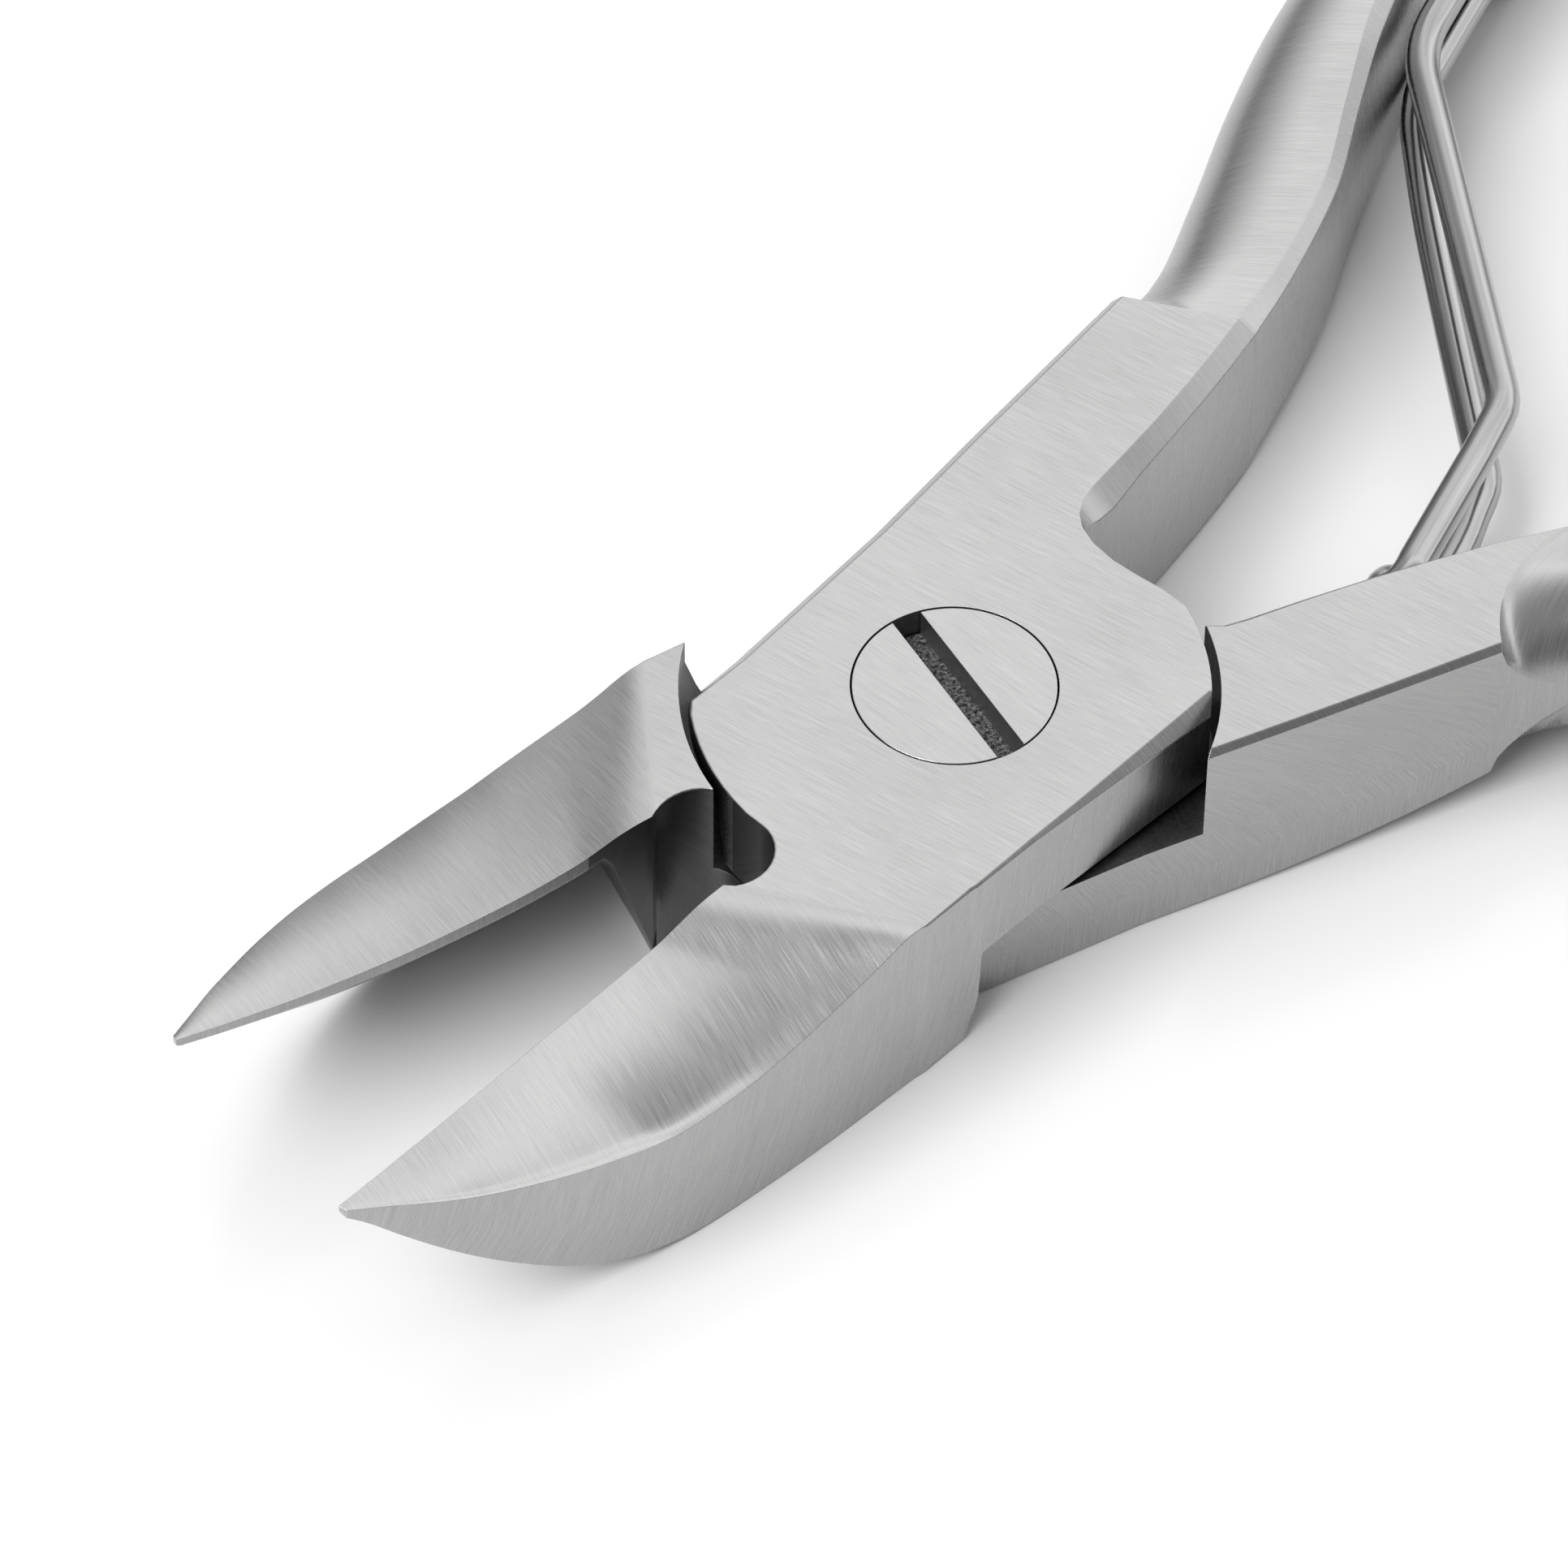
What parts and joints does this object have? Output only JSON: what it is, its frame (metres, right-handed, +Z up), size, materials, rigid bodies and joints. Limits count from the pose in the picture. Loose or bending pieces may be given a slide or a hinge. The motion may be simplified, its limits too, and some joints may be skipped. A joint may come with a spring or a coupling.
{
  "type": "nail nipper",
  "caption": "Plier-type nail nipper in brushed steel: two forged levers on a lap joint with a flush slotted pivot screw and a wire return spring.",
  "frame": {"origin": "centre of the bounding box on the table plane, open rest position", "axes": "+X from the handles towards the jaw tips, +Z up through the thickness along the pivot axis, +Y to the side of lever A's jaw"},
  "size_m": [0.1314, 0.0444, 0.0075],
  "materials": {
    "lever_steel_a": "belt-brushed satin stainless steel",
    "lever_steel_b": "belt-brushed satin stainless steel",
    "screw_steel": "ground flush with the lever face",
    "spring_wire": "drawn and polished wire"
  },
  "bodies": {
    "lever_b": {"lever_b_lower": "lever_steel_b", "pivot_screw": "screw_steel"},
    "lever_a": {"lever_a_upper": "lever_steel_a", "wire_spring": "spring_wire"}
  },
  "joints": [
    {"name": "pivot", "type": "hinge", "parent": "lever_b", "child": "lever_a", "pos_m": [0.03773, 0, 0.00375], "axis": [0, 0, -1], "range_deg": [0, 15.6], "stiffness_Nm_per_rad": 0.8, "deforming": ["wire_spring"]}
  ]
}
